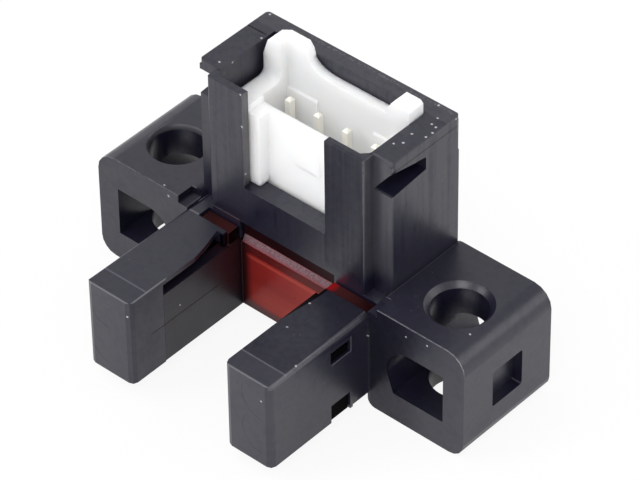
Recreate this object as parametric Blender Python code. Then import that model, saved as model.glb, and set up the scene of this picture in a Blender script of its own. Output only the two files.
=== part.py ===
"""Slotted optical switch: a forked sensor with screw wings and an upright plug header.

X runs along the wings, Y from the arm tips to the back, Z up. The wings stand on Z = 0 and the
origin is at the middle of the footprint. Sizes below are in millimetres, and MM makes them metres.
"""

import math

import bmesh
import bpy
from mathutils import Vector

MM = 0.001

# Gaps between pieces
fit_gap = 0.06

# Case: wings
overall_width = 26.0
wing_depth = 7.1
wing_height = 7.0
wing_overlap = 0.1
wing_outer_top_round = 1.2
wing_outer_bottom_round = 1.0
wing_inner_round = 0.5
wing_notch_width = 0.55
wing_notch_depth = 1.15
wing_notch_height = 0.45

# Screw ways through each wing
screw_hole_from_end = 3.0
screw_hole_radius = 1.6
screw_chamfer = 0.3
screw_hole_inset = 3.2
cross_slot_height = 3.15
cross_slot_length = 3.85
cross_slot_centre_height = 3.42
cross_slot_outer_wall = 1.42
cross_slot_foot = 0.44
end_pocket_size = 2.4
end_pocket_depth = 0.62
end_pocket_inset = 3.55
end_pocket_height = 3.35

# Case: fork
slot_width = 6.7
arm_width = 3.15
slot_depth = 8.65
arm_reach = 7.7
arm_bottom = 0.8
arm_top = 6.5
arm_edge_round = 0.35
arm_wall = 0.75
arm_tip_wall = 1.4
arm_recess_top = 6.2
arm_relief_depth = 0.1
arm_relief_length = 1.3
arm_web = 0.28
arm_web_inset = 0.17

# Case: tower
tower_top = 15.6
tower_inset = 0.87
tower_lower_edge = 6.75
tower_over_arms = 0.16
tower_step_width = 1.24
tower_narrow_depth = 0.8
tower_corner_round = 0.15
tower_top_round = 0.15
tower_setback = 0.06
tower_setback_height = 13.2
rim_height = 1.03
rim_proud = 0.03
rim_corner_round = 0.3
groove_front_low = 13.33
groove_front_high = 14.95
groove_back_low = 13.6
groove_back_high = 14.4
groove_length = 2.7
groove_wall = 0.25
pier_thickness = 0.45
tower_rear_wall = 1.08
tower_side_wall = 0.2
cavity_corner_cut = 0.4
window_left = -2.92
window_right = 2.75
sill_height = 9.25
sill_depth = 1.2

# Snap windows in the arms' outer sides
latch_width = 1.5
latch_inset = 1.5
latch_window_low = 4.9
latch_window_height = 0.8
latch_foot_top = 2.0

# Red insert
insert_thickness = 0.65
insert_leg_thickness = 0.7
insert_leg_length = 6.05
insert_leg_top = 5.5
insert_front_top = 5.3
insert_ledge_height = 0.45
insert_ledge_depth = 0.2
insert_bar_low = 5.3
insert_bar_top = 6.35
insert_bar_reach = 6.3
insert_bar_left_reach = 5.5

# Plug header
header_bottom = 8.46
header_floor = 9.9
header_front_top = 14.43
header_side_top = 13.75
header_front_low = 13.94
header_key_edge = -3.07
header_rear_top = 14.9
header_post_top = 16.4
header_post_shoulder = 15.0
header_post_depth = 1.15
header_left_inset = 0.2
header_left_post = 2.7
header_right_post = 2.0
header_post_chamfer = 0.35
header_curve_reach = 1.56
header_curve_rise = 0.85
header_side_wall = 1.25
header_side_rise = 0.45
header_rear_wall = 0.62
header_front_wall = 0.5
header_front_inset = 0.6
header_front_recess = 0.75
header_front_recess_width = 4.7
header_pad_thickness = 0.12
header_pad_top = 13.2
header_pad_gap = 3.9
header_pad_middle = 0.35
lock_pad_width = 1.6
lock_pad_low = 11.4
lock_pad_high = 12.9
lock_pad_offset = 0.4
lock_pad_thickness = 0.08

# Contact pins
pin_pitch = 2.0
pin_count = 4
pin_width = 0.4
pin_tip = 13.1
pin_tail = 6.9
pin_taper = 0.14
pin_inset = 1.27

# Circuit board
board_thickness = 0.8

# Optical packages
package_axis_inset = 2.6
package_axis_height = 3.7
package_thickness = 1.0
package_length = 2.2
package_height = 2.8
package_lens_radius = 0.7
package_lens_height = 0.25
lead_radius = 0.15
lead_spacing = 1.0
lead_place = 4.58
lead_count = 2
lead_first_row = 0.5

# Base cover
cover_low = 0.05
cover_thickness = 0.75
latch_tab_thickness = 0.45
latch_hook_reach = 0.12

# Facets
round_steps = 4
hole_steps = 40
lead_sides = 2

# Places worked out from the sizes above
half_width = overall_width / 2
arm_inner = slot_width / 2
arm_outer = arm_inner + arm_width
front_of_wings = (arm_reach - wing_depth) / 2
back_of_wings = front_of_wings + wing_depth
arm_tip = front_of_wings - arm_reach
slot_root = arm_tip + slot_depth
leg_outer = arm_inner + insert_leg_thickness
leg_tip = slot_root - insert_leg_length
tower_half = arm_outer + tower_over_arms
tower_narrow_half = tower_half - tower_step_width
tower_front = front_of_wings + tower_inset
tower_step = tower_front + tower_narrow_depth
cavity_half = tower_narrow_half - tower_side_wall
cavity_front = tower_front + pier_thickness
cavity_back = back_of_wings - tower_setback - tower_rear_wall
sill_back = tower_front + sill_depth
insert_back = slot_root + insert_thickness
insert_top = tower_lower_edge - fit_gap
header_right = cavity_half - fit_gap
header_left = -header_right + header_left_inset
header_back = cavity_back - fit_gap
header_front = tower_front + header_front_inset
header_panel = header_front + header_front_recess
header_foot = sill_height + fit_gap
board_top = header_bottom - fit_gap
board_bottom = board_top - board_thickness
pin_row = header_back - pin_inset
latch_back = front_of_wings - latch_inset
hollow_outer = arm_outer - arm_wall
hollow_front = arm_tip + arm_tip_wall
hollow_top = arm_top - arm_wall
cover_top = arm_bottom + cover_low + cover_thickness

COLOURS = {
    "case": ((0.012, 0.012, 0.015), 0.45, 0.0),
    "insert": ((0.32, 0.012, 0.010), 0.20, 0.0),
    "header": ((0.80, 0.80, 0.78), 0.40, 0.0),
    "pin": ((0.72, 0.55, 0.26), 0.30, 1.0),
    "board": ((0.02, 0.14, 0.06), 0.55, 0.0),
    "lead": ((0.62, 0.62, 0.60), 0.35, 1.0),
    "package": ((0.03, 0.02, 0.05), 0.25, 0.0),
    "chip": ((0.02, 0.02, 0.02), 0.50, 0.0),
    "ceramic": ((0.45, 0.32, 0.20), 0.60, 0.0),
    "lamp": ((0.60, 0.08, 0.06), 0.30, 0.0),
}


def clear_scene():
    for old in list(bpy.data.objects):
        bpy.data.objects.remove(old, do_unlink=True)


def new_collection(name):
    made = bpy.data.collections.new(name)
    bpy.context.scene.collection.children.link(made)
    return made


def material(key):
    made = bpy.data.materials.get(key)
    if made:
        return made
    colour, roughness, metallic = COLOURS[key]
    made = bpy.data.materials.new(key)
    made.use_nodes = True
    shader = made.node_tree.nodes["Principled BSDF"]
    shader.inputs["Base Color"].default_value = (*colour, 1.0)
    shader.inputs["Roughness"].default_value = roughness
    shader.inputs["Metallic"].default_value = metallic
    return made


def object_from(name, shape, collection):
    """A bmesh in millimetres as an object in metres."""
    bmesh.ops.scale(shape, vec=Vector((MM, MM, MM)), verts=shape.verts)
    bmesh.ops.recalc_face_normals(shape, faces=shape.faces)
    mesh = bpy.data.meshes.new(name)
    shape.to_mesh(mesh)
    shape.free()
    made = bpy.data.objects.new(name, mesh)
    collection.objects.link(made)
    return made


def cutter_from(name, shape):
    made = object_from(name, shape, cutters)
    made.hide_render = True
    made.display_type = "WIRE"
    return made


def box_shape(low, high, rounds=(), steps=round_steps):
    """A box between two corners. Each round is (sides, radius), and 'x+z+' is the edge where those sides meet."""
    low = Vector(low)
    high = Vector(high)
    shape = bmesh.new()
    bmesh.ops.create_cube(shape, size=1.0)
    bmesh.ops.scale(shape, vec=high - low, verts=shape.verts)
    bmesh.ops.translate(shape, vec=(low + high) / 2, verts=shape.verts)
    for sides, radius in rounds:
        picked = []
        for edge in shape.edges:
            middle = (edge.verts[0].co + edge.verts[1].co) / 2
            for corner in sides.split():
                tests = [(corner[i], corner[i + 1]) for i in range(0, len(corner), 2)]
                on_sides = [
                    abs(middle["xyz".index(axis)] - (high if sign == "+" else low)["xyz".index(axis)]) < 1e-4
                    for axis, sign in tests
                ]
                if all(on_sides):
                    picked.append(edge)
                    break
        bmesh.ops.bevel(shape, geom=picked, offset=radius, segments=steps, profile=0.5, affect="EDGES")
    return shape


def turned_shape(centre, radius, low, high, top_radius=None, steps=hole_steps):
    """An upright round bar, or a cone with its own radius at the top."""
    shape = bmesh.new()
    bmesh.ops.create_cone(
        shape,
        cap_ends=True,
        segments=steps,
        radius1=radius,
        radius2=radius if top_radius is None else top_radius,
        depth=high - low,
    )
    bmesh.ops.translate(shape, vec=Vector((centre[0], centre[1], (low + high) / 2)), verts=shape.verts)
    return shape


def prism_shape(outline, axis, low, high):
    """A closed outline swept along an axis. Its points are the other two axes in X, Y, Z order."""
    shape = bmesh.new()
    place = {
        "x": lambda a, b: (low, a, b),
        "y": lambda a, b: (a, low, b),
        "z": lambda a, b: (a, b, low),
    }[axis]
    start = shape.faces.new([shape.verts.new(place(a, b)) for a, b in outline])
    swept = bmesh.ops.extrude_face_region(shape, geom=[start])
    moved = [item for item in swept["geom"] if isinstance(item, bmesh.types.BMVert)]
    step = Vector((0.0, 0.0, 0.0))
    step["xyz".index(axis)] = high - low
    bmesh.ops.translate(shape, vec=step, verts=moved)
    return shape


def mirrored(shape):
    """The same shape on the other side of X = 0."""
    bmesh.ops.scale(shape, vec=Vector((-1.0, 1.0, 1.0)), verts=shape.verts)
    bmesh.ops.reverse_faces(shape, faces=shape.faces)
    return shape


def combine(target, other, operation):
    step = target.modifiers.new(operation.title(), "BOOLEAN")
    step.operation = operation
    step.solver = "EXACT"
    step.object = other
    weld = target.modifiers.new("Weld", "WELD")
    weld.merge_threshold = 1e-7


def join(target, name, shape):
    combine(target, cutter_from(name, shape), "UNION")


def cut(target, name, shape):
    combine(target, cutter_from(name, shape), "DIFFERENCE")


def finish(target, key, smooth_angle=32):
    target.data.materials.append(material(key))
    for face in target.data.polygons:
        face.use_smooth = True
    target.data.set_sharp_from_angle(angle=math.radians(smooth_angle))
    return target


def each_side():
    """The left side as -1 and the right side as 1, with a name for each."""
    return ((-1, "left"), (1, "right"))


def on_side(side, shape):
    return shape if side > 0 else mirrored(shape)


def wing_shape():
    """Right wing: a block with its four long edges rounded."""
    return box_shape(
        (arm_outer - wing_overlap, front_of_wings, 0.0),
        (half_width, back_of_wings, wing_height),
        (
            ("x+z+", wing_outer_top_round),
            ("x+z-", wing_outer_bottom_round),
            ("x-z+ x-z-", wing_inner_round),
        ),
    )


def arm_shape():
    """Right arm of the fork, run back into the middle of the case."""
    return box_shape(
        (arm_inner, arm_tip, arm_bottom),
        (arm_outer, tower_step + 0.6, arm_top),
        (
            ("x+y- x-y-", arm_edge_round),
            ("x+z+", arm_edge_round),
        ),
        2,
    )


def cross_slot_shape():
    """D-shaped way through a wing from front to back: round towards the tower, square outside."""
    radius = cross_slot_height / 2
    outer = half_width - cross_slot_outer_wall
    inner_centre = outer - cross_slot_length + radius
    foot = (inner_centre - radius + cross_slot_foot, cross_slot_centre_height - radius)
    outline = [foot, (outer, cross_slot_centre_height - radius), (outer, cross_slot_centre_height + radius)]
    for i in range(hole_steps // 3 + 1):
        angle = math.pi / 2 + 1.15 * math.pi / 2 * i / (hole_steps // 3)
        across = inner_centre + radius * math.cos(angle)
        outline.append((across, cross_slot_centre_height + radius * math.sin(angle)))
    return prism_shape(outline, "y", front_of_wings - 1.0, back_of_wings + 1.0)


def cut_wing(case, side, label):
    """Screw bore with its flare, the D-shaped way, the end pocket and the notch beside the tower."""
    centre = (half_width - screw_hole_from_end, front_of_wings + screw_hole_inset)
    cut(case, f"screw_bore_{label}", on_side(side, turned_shape(centre, screw_hole_radius, -1.0, wing_height + 1.0)))
    flare = turned_shape(
        centre,
        screw_hole_radius - screw_chamfer,
        wing_height - 2 * screw_chamfer,
        wing_height + screw_chamfer,
        screw_hole_radius + 2 * screw_chamfer,
    )
    cut(case, f"screw_flare_{label}", on_side(side, flare))
    foot_flare = turned_shape(
        centre,
        screw_hole_radius + 2 * screw_chamfer,
        -screw_chamfer,
        2 * screw_chamfer,
        screw_hole_radius - screw_chamfer,
    )
    cut(case, f"screw_foot_flare_{label}", on_side(side, foot_flare))
    cut(case, f"cross_slot_{label}", on_side(side, cross_slot_shape()))
    middle = front_of_wings + end_pocket_inset
    pocket = box_shape(
        (half_width - end_pocket_depth, middle - end_pocket_size / 2, end_pocket_height - end_pocket_size / 2),
        (half_width + 1.0, middle + end_pocket_size / 2, end_pocket_height + end_pocket_size / 2),
        (("y+z- y-z- y+z+ y-z+", 0.15),),
    )
    cut(case, f"end_pocket_{label}", on_side(side, pocket))
    notch = box_shape(
        (arm_outer - 0.5, front_of_wings - 1.0, wing_height - wing_notch_height),
        (arm_outer + wing_notch_width, front_of_wings + wing_notch_depth, wing_height + 1.0),
    )
    cut(case, f"wing_notch_{label}", on_side(side, notch))


def cut_tower_groove(case, side, label):
    """Tapering notch under the rim, open to the front at the tower's step."""
    ahead = 1.0 / groove_length
    outline = (
        (tower_step - 1.0, groove_front_low + (groove_front_low - groove_back_low) * ahead),
        (tower_step + groove_length, groove_back_low),
        (tower_step + groove_length, groove_back_high),
        (tower_step - 1.0, groove_front_high + (groove_front_high - groove_back_high) * ahead),
    )
    inner = cavity_half + groove_wall
    cut(case, f"groove_{label}", on_side(side, prism_shape(outline, "x", inner, tower_half + 1.0)))


def cut_arm(case, side, label):
    """Hollow of the arm, open below, its open inner side, the sloped top edge and the snap windows."""
    hollow = box_shape((arm_inner + 0.4, hollow_front, arm_bottom - 1.0), (hollow_outer, sill_back + 0.7, hollow_top))
    cut(case, f"arm_hollow_{label}", on_side(side, hollow))
    mouth = box_shape(
        (arm_inner - 1.0, leg_tip - fit_gap, arm_bottom - 1.0),
        (leg_outer + fit_gap, front_of_wings + 0.4, insert_leg_top + fit_gap),
    )
    cut(case, f"arm_mouth_{label}", on_side(side, mouth))
    recess = box_shape(
        (arm_inner - 1.0, leg_tip - fit_gap, insert_leg_top - 0.5),
        (leg_outer + fit_gap, front_of_wings - arm_web, arm_recess_top),
    )
    cut(case, f"arm_recess_{label}", on_side(side, recess))
    corner = box_shape(
        (arm_inner - 1.0, front_of_wings - 2 * arm_web, insert_leg_top - 0.4),
        (arm_inner + arm_web_inset, front_of_wings + 0.4, arm_top + 1.0),
    )
    cut(case, f"arm_web_corner_{label}", on_side(side, corner))
    for level, low, high in (
        ("upper", latch_window_low, latch_window_low + latch_window_height),
        ("lower", arm_bottom - 1.0, latch_foot_top),
    ):
        window = box_shape((hollow_outer - 0.3, latch_back - latch_width, low), (arm_outer + 1.0, latch_back, high))
        cut(case, f"latch_window_{level}_{label}", on_side(side, window))
    relief = box_shape(
        (arm_outer - arm_relief_depth, front_of_wings - arm_relief_length, arm_bottom - 1.0),
        (arm_outer + 1.0, front_of_wings, arm_top - arm_edge_round - 0.1),
    )
    cut(case, f"arm_relief_{label}", on_side(side, relief))


def cut_left_arm_edge(case):
    """The top of the left arm narrows in a shallow curve towards the web at its root."""
    curve = ((-0.28, 0.58), (-0.85, 0.44), (-1.44, 0.26), (-2.16, 0.1), (-3.0, -0.05))
    outline = [(-arm_inner - over, front_of_wings + back) for back, over in curve]
    outline += [(-arm_inner + 0.7, front_of_wings - 3.0), (-arm_inner + 0.7, front_of_wings - arm_web)]
    cut(case, "left_arm_edge", prism_shape(outline, "z", insert_leg_top + 0.3, arm_top + 1.0))


def build_case_masses():
    """The solid outline of the case before anything is hollowed."""
    case = object_from(
        "outer_case",
        box_shape(
            (-tower_half, tower_step, arm_bottom),
            (tower_half, back_of_wings, tower_setback_height),
            (("x+y+ x-y+", tower_corner_round),),
        ),
        parts,
    )
    root = box_shape(
        (-arm_outer - 0.04, tower_front, arm_bottom + 0.07),
        (arm_outer + 0.04, tower_step + 0.8, arm_top - 0.05),
    )
    join(case, "root_block", root)
    upper = box_shape(
        (-tower_half, tower_step, tower_setback_height - 0.5),
        (tower_half, back_of_wings - tower_setback, tower_top - 0.3),
        (("x+y+ x-y+", tower_corner_round),),
    )
    join(case, "tower_upper", upper)
    front = box_shape(
        (-tower_narrow_half, tower_front, arm_top - 0.6),
        (tower_narrow_half, tower_step + 0.5, tower_top - 0.03),
        (("x+y- x-y-", 0.15), ("y-z+", 0.1)),
    )
    join(case, "tower_front", front)
    rim = box_shape(
        (-tower_half - rim_proud, tower_step, tower_top - rim_height),
        (tower_half + rim_proud, back_of_wings - tower_setback + rim_proud, tower_top),
        (("x+y+ x-y+ x+y- x-y-", rim_corner_round), ("x+z+ x-z+ y+z+", tower_top_round)),
    )
    join(case, "tower_rim", rim)
    for side, label in each_side():
        join(case, f"arm_{label}", on_side(side, arm_shape()))
        join(case, f"wing_{label}", on_side(side, wing_shape()))
    return case


def make_case():
    """Outer case, one black moulding: wings, fork and tower, hollowed from above and from below."""
    case = build_case_masses()
    cavity = box_shape(
        (-cavity_half, cavity_front, sill_height),
        (cavity_half, cavity_back, tower_top + 1.0),
        (("x+y- x-y-", cavity_corner_cut),),
        1,
    )
    cut(case, "tower_cavity", cavity)
    cut(case, "board_room", box_shape((-cavity_half, sill_back, 3.0), (cavity_half, cavity_back, sill_height + 0.5)))
    lower = box_shape(
        (-cavity_half, insert_back - 0.3, arm_bottom - 1.0),
        (cavity_half, cavity_back, tower_lower_edge - 0.4),
    )
    cut(case, "lower_room", lower)
    opening = box_shape(
        (window_left, tower_front - 1.0, sill_height),
        (window_right, cavity_front + 0.5, tower_top + 1.0),
    )
    cut(case, "plug_window", opening)
    for side, label in each_side():
        cut_wing(case, side, label)
        cut_tower_groove(case, side, label)
        cut_arm(case, side, label)
    strip = box_shape(
        (-insert_bar_left_reach - fit_gap, front_of_wings, insert_bar_low - fit_gap),
        (insert_bar_reach + fit_gap, tower_front, arm_top + 1.0),
    )
    cut(case, "strip_room", strip)
    cut_left_arm_edge(case)
    wall_room = box_shape(
        (-leg_outer - fit_gap, front_of_wings + 0.2, arm_bottom - 1.0),
        (leg_outer + fit_gap, insert_back + fit_gap, insert_leg_top + fit_gap),
    )
    cut(case, "insert_wall_room", wall_room)
    top_room = box_shape(
        (-arm_inner, tower_front - 0.6, arm_bottom),
        (arm_inner, insert_back + fit_gap, tower_lower_edge),
    )
    cut(case, "insert_top_room", top_room)
    return finish(case, "case")


def make_window():
    """Red insert, one clear moulding: wall across the slot's root, a leg along each arm and a bar behind each top."""
    middle = box_shape(
        (-leg_outer, slot_root, arm_bottom + cover_low),
        (leg_outer, insert_back, insert_leg_top - 0.1),
    )
    insert = object_from("red_window", middle, parts)
    low = insert_front_top
    outline = (
        (insert_back, low - 0.3),
        (slot_root, low - 0.3),
        (slot_root, low),
        (slot_root + insert_ledge_depth, low + insert_ledge_height),
        (slot_root + insert_ledge_depth, insert_top),
        (insert_back, insert_top),
    )
    front_cut = box_shape(
        (-arm_inner, slot_root - 1.0, low),
        (arm_inner, slot_root + insert_ledge_depth, insert_top + 1.0),
    )
    cut(insert, "insert_front_step", front_cut)
    join(insert, "insert_upper_wall", prism_shape(outline, "x", -arm_inner + fit_gap, arm_inner - fit_gap))
    for side, label in each_side():
        leg = box_shape(
            (arm_inner, leg_tip, arm_bottom + cover_low),
            (leg_outer, slot_root + 0.3, insert_leg_top),
        )
        join(insert, f"insert_leg_{label}", on_side(side, leg))
        bar = box_shape(
            (arm_inner + 0.05, front_of_wings + fit_gap, insert_bar_low),
            (insert_bar_reach if side > 0 else insert_bar_left_reach, tower_front - fit_gap, insert_bar_top),
            (("x+y-", 0.1),),
            1,
        )
        join(insert, f"insert_bar_{label}", on_side(side, bar))
    return finish(insert, "insert")


def rear_wall_shape():
    """Rear wall of the header with its two tall corner posts, as one outline seen from the front."""
    top = header_post_top
    chamfer = header_post_chamfer
    left_post = header_left + header_left_post
    right_post = header_right - header_right_post
    outline = [
        (header_left, header_bottom),
        (header_left, header_post_shoulder),
        (header_left + chamfer, top - chamfer),
        (header_left + 3 * chamfer, top),
        (left_post - chamfer, top),
        (left_post - chamfer / 5, top - chamfer),
    ]
    for i in range(round_steps + 3):
        turn = math.pi / 2 * i / (round_steps + 2)
        across = left_post + header_curve_reach * (1 - math.cos(turn))
        outline.append((across, header_rear_top + header_curve_rise * (1 - math.sin(turn))))
    outline += [
        (right_post, header_rear_top),
        (right_post, header_rear_top + chamfer),
        (right_post + 2.5 * chamfer, top),
        (header_right - chamfer / 2, top),
        (header_right, top - chamfer / 2),
        (header_right, header_bottom),
    ]
    return prism_shape(outline, "y", header_back - header_post_depth, header_back)


def side_wall_shape(low, high):
    """A side wall of the header: high at the front, low along its middle, curving up to the corner post."""
    rear = header_back - header_post_depth
    front = header_panel - 0.2
    inside = header_panel + header_front_wall
    outline = [
        (front, header_foot),
        (front, header_side_top),
        (header_panel, header_side_top),
        (header_panel, header_front_top - 0.02),
        (inside, header_front_top - 0.02),
        (inside, header_side_top),
    ]
    for i in range(round_steps + 1):
        turn = math.pi / 2 * i / round_steps
        along = rear - header_side_rise + header_side_rise * math.sin(turn)
        outline.append((along, header_side_top + header_side_rise * (1 - math.cos(turn))))
    outline += [(rear + 0.3, header_side_top + header_side_rise), (rear + 0.3, header_foot)]
    return prism_shape(outline, "x", low, high)


def make_header():
    """White plug header: floor, four walls, two front ribs and the posts at the rear corners."""
    base = box_shape((header_left, header_panel, header_bottom), (header_right, header_back - 0.2, header_floor))
    header = object_from("connector_shroud", base, parts)
    front = box_shape(
        (header_left + 0.2, header_panel, header_floor - 0.5),
        (header_right - 0.2, header_panel + header_front_wall, header_front_top),
    )
    join(header, "header_front_wall", front)
    join(header, "header_rear_wall", rear_wall_shape())
    join(header, "header_left_wall", side_wall_shape(header_left + 0.02, header_left + header_side_wall))
    join(header, "header_right_wall", side_wall_shape(header_right - header_side_wall, header_right - 0.02))
    rib_half = header_front_recess_width / 2
    for low, high, label in (
        (header_left + 0.3, -rib_half, "left"),
        (rib_half, header_right - cavity_corner_cut - 0.05, "right"),
    ):
        rib = box_shape(
            (low, header_front, header_foot),
            (high, header_panel + 0.2, header_front_top - 0.01),
            (("x-y- x+y-", 0.12),),
            2,
        )
        join(header, f"header_rib_{label}", rib)
    room_left = header_left + header_side_wall
    room_right = header_right - header_side_wall
    room = box_shape(
        (room_left, header_panel + header_front_wall, header_floor),
        (room_right, header_back - header_rear_wall, header_post_top + 1.0),
        (("x+y+ x-y+ x+y- x-y-", 0.15),),
        2,
    )
    cut(header, "header_room", room)
    for low, high, label in (
        (room_left - 0.2, header_pad_middle - header_pad_gap / 2, "left"),
        (header_pad_middle + header_pad_gap / 2, room_right + 0.2, "right"),
    ):
        pad = box_shape(
            (low, header_back - header_rear_wall - header_pad_thickness, header_floor - 0.2),
            (high, header_back - 0.3, header_pad_top),
            (("y-z+", 0.1),),
            1,
        )
        join(header, f"header_pad_{label}", pad)
    lock = box_shape(
        (lock_pad_offset - lock_pad_width / 2, header_panel - lock_pad_thickness, lock_pad_low),
        (lock_pad_offset + lock_pad_width / 2, header_panel + 0.2, lock_pad_high),
    )
    join(header, "header_lock_pad", lock)
    lower = box_shape(
        (header_key_edge, header_front - 1.0, header_front_low),
        (header_right + 1.0, header_panel + header_front_wall + 0.05, header_front_top + 1.0),
    )
    cut(header, "header_front_edge", lower)
    for i, place in enumerate(pin_places()):
        reach = pin_width / 2 + fit_gap
        hole = box_shape(
            (place - reach, pin_row - reach, header_bottom - 1.0),
            (place + reach, pin_row + reach, header_floor + 1.0),
        )
        cut(header, f"header_pin_hole_{i + 1}", hole)
    return finish(header, "header")


def pin_places():
    return [(i - (pin_count - 1) / 2) * pin_pitch for i in range(pin_count)]


def make_pins():
    """Square pins with a chamfered tip, soldered through the board."""
    reach = pin_width / 2
    for i, place in enumerate(pin_places()):
        shape = box_shape(
            (place - reach, pin_row - reach, pin_tail),
            (place + reach, pin_row + reach, pin_tip),
            (("x+z+ x-z+ y+z+ y-z+", pin_taper),),
            1,
        )
        finish(object_from(f"contact_pin_{i + 1}", shape, parts), "pin")


def lead_rows():
    return [sill_back + lead_first_row + lead_spacing * i for i in range(lead_count)]


def make_board():
    """Circuit board under the header, with ways for the four pins and for the packages' leads."""
    flat = box_shape((-header_right, sill_back + fit_gap, board_bottom), (header_right, header_back, board_top))
    board = object_from("circuit_board", flat, parts)
    pin_way = math.hypot(pin_width, pin_width) / 2 + fit_gap
    for i, place in enumerate(pin_places()):
        way = turned_shape((place, pin_row), pin_way, board_bottom - 1.0, board_top + 1.0, steps=12)
        cut(board, f"board_pin_way_{i + 1}", way)
    for side, label in each_side():
        for i, row in enumerate(lead_rows()):
            way = turned_shape(
                (side * lead_place, row), lead_radius + fit_gap, board_bottom - 1.0, board_top + 1.0, steps=12
            )
            cut(board, f"board_lead_way_{label}_{i + 1}", way)
    return finish(board, "board")


def make_package(name, side):
    """Optical package in an arm, its lens turned to the slot."""
    middle = arm_tip + package_axis_inset
    inner = leg_outer + fit_gap + package_lens_height + 0.05
    body = box_shape(
        (inner, middle - package_length / 2, package_axis_height - package_height / 2),
        (inner + package_thickness, middle + package_length / 2, package_axis_height + package_height / 2),
        (("y+z+ y-z+ y+z- y-z-", 0.15),),
        2,
    )
    package = object_from(name, on_side(side, body), parts)
    dome = bmesh.new()
    bmesh.ops.create_uvsphere(dome, u_segments=16, v_segments=10, radius=package_lens_radius)
    bmesh.ops.scale(
        dome, vec=Vector((package_lens_height / package_lens_radius, 1.0, 1.0)), verts=dome.verts
    )
    bmesh.ops.translate(dome, vec=Vector((inner + 0.01, middle, package_axis_height)), verts=dome.verts)
    join(package, f"{name}_lens", on_side(side, dome))
    return finish(package, "package")


def make_leads(name, side):
    """Leads run back from the package, one above the other, and turn up into the board."""
    start = arm_tip + package_axis_inset + package_length / 2 + fit_gap
    across = leg_outer + fit_gap + package_lens_height + 0.05 + package_thickness / 2
    for i, row in enumerate(lead_rows()):
        height = package_axis_height + lead_spacing * (0.5 - i)
        turn = 0.3
        points = (
            (across, start, height),
            (across, front_of_wings, height),
            (lead_place, front_of_wings + 0.8, height),
            (lead_place, row - turn, height),
            (lead_place, row, height + turn),
            (lead_place, row, board_top + 0.02),
        )
        curve = bpy.data.curves.new(f"{name}_{i + 1}", "CURVE")
        curve.dimensions = "3D"
        line = curve.splines.new("POLY")
        line.points.add(len(points) - 1)
        for point, place in zip(line.points, points):
            point.co = (side * place[0] * MM, place[1] * MM, place[2] * MM, 1.0)
        curve.bevel_depth = lead_radius * MM
        curve.bevel_resolution = lead_sides
        curve.use_fill_caps = True
        wire = bpy.data.objects.new("lead_path", curve)
        parts.objects.link(wire)
        made = bpy.data.meshes.new_from_object(wire.evaluated_get(bpy.context.evaluated_depsgraph_get()))
        bpy.data.objects.remove(wire, do_unlink=True)
        shape = bmesh.new()
        shape.from_mesh(made)
        bmesh.ops.remove_doubles(shape, verts=shape.verts, dist=1e-7)
        bmesh.ops.scale(shape, vec=Vector((1 / MM, 1 / MM, 1 / MM)), verts=shape.verts)
        finish(object_from(f"{name}_{i + 1}", shape, parts), "lead", 50)


def make_board_parts():
    """Chips hung under the board. Each row is name, colour, middle X, middle Y, width, depth and height."""
    front_row = sill_back + fit_gap + 0.6
    chip_row = sill_back + fit_gap + 1.1
    rear_row = header_back - 0.4
    rows = (
        ("indicator_led", "lamp", 0.0, front_row, 1.6, 0.8, 0.7),
        ("protection_diode", "chip", 0.0, front_row + 1.0, 1.2, 0.6, 0.5),
        ("amplifier_chip", "chip", -2.45, chip_row, 2.0, 1.5, 0.6),
        ("output_transistor", "chip", 2.45, chip_row, 1.5, 1.2, 0.6),
        ("chip_resistor_1", "chip", -3.0, rear_row, 1.0, 0.5, 0.35),
        ("chip_resistor_2", "chip", -1.5, rear_row, 1.0, 0.5, 0.35),
        ("chip_resistor_3", "chip", 0.0, rear_row, 1.0, 0.5, 0.35),
        ("chip_capacitor_1", "ceramic", 1.5, rear_row, 1.0, 0.5, 0.45),
        ("chip_capacitor_2", "ceramic", 3.0, rear_row, 1.0, 0.5, 0.45),
    )
    top = board_bottom - fit_gap
    for name, key, across, along, width, depth, height in rows:
        body = box_shape(
            (across - width / 2, along - depth / 2, top - height),
            (across + width / 2, along + depth / 2, top),
            (("x+z- x-z-", 0.08),),
            1,
        )
        finish(object_from(name, body, parts), key)


def make_cover():
    """Base cover, one plate across the middle and out along both arms, with a latch tab in each arm."""
    low = arm_bottom + cover_low
    middle = box_shape(
        (-cavity_half + fit_gap, insert_back + 2 * fit_gap, low),
        (cavity_half - fit_gap, cavity_back - fit_gap, cover_top),
    )
    cover = object_from("base_cover", middle, parts)
    for side, label in each_side():
        outer = hollow_outer - fit_gap
        arm = box_shape(
            (leg_outer + 2 * fit_gap, hollow_front + fit_gap, low),
            (outer, sill_back + 0.6, cover_top - 0.02),
        )
        join(cover, f"cover_arm_{label}", on_side(side, arm))
        front = latch_back - latch_width + fit_gap
        back = latch_back - fit_gap
        tab = box_shape(
            (outer - latch_tab_thickness, front, low + 0.2),
            (outer, back, latch_window_low + latch_window_height - fit_gap),
        )
        join(cover, f"cover_tab_{label}", on_side(side, tab))
        hook = box_shape(
            (outer - 0.2, front + 0.01, latch_window_low + fit_gap),
            (arm_outer - latch_hook_reach, back - 0.01, latch_window_low + latch_window_height - fit_gap - 0.01),
            (("x+z+", 0.3),),
            1,
        )
        join(cover, f"cover_hook_{label}", on_side(side, hook))
        foot = box_shape(
            (outer - 0.2, front + 0.01, low),
            (arm_outer - latch_hook_reach, back - 0.01, latch_foot_top - 2 * fit_gap),
        )
        join(cover, f"cover_foot_{label}", on_side(side, foot))
    return finish(cover, "case")


clear_scene()
parts = new_collection("slotted_optical_switch")
cutters = new_collection("cutters")
make_case()
make_window()
make_header()
make_pins()
make_board()
for package_name, package_side in (("emitter", -1), ("detector", 1)):
    make_package(f"{package_name}_package", package_side)
    make_leads(f"{package_name}_lead", package_side)
make_board_parts()
make_cover()
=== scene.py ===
import math

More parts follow.
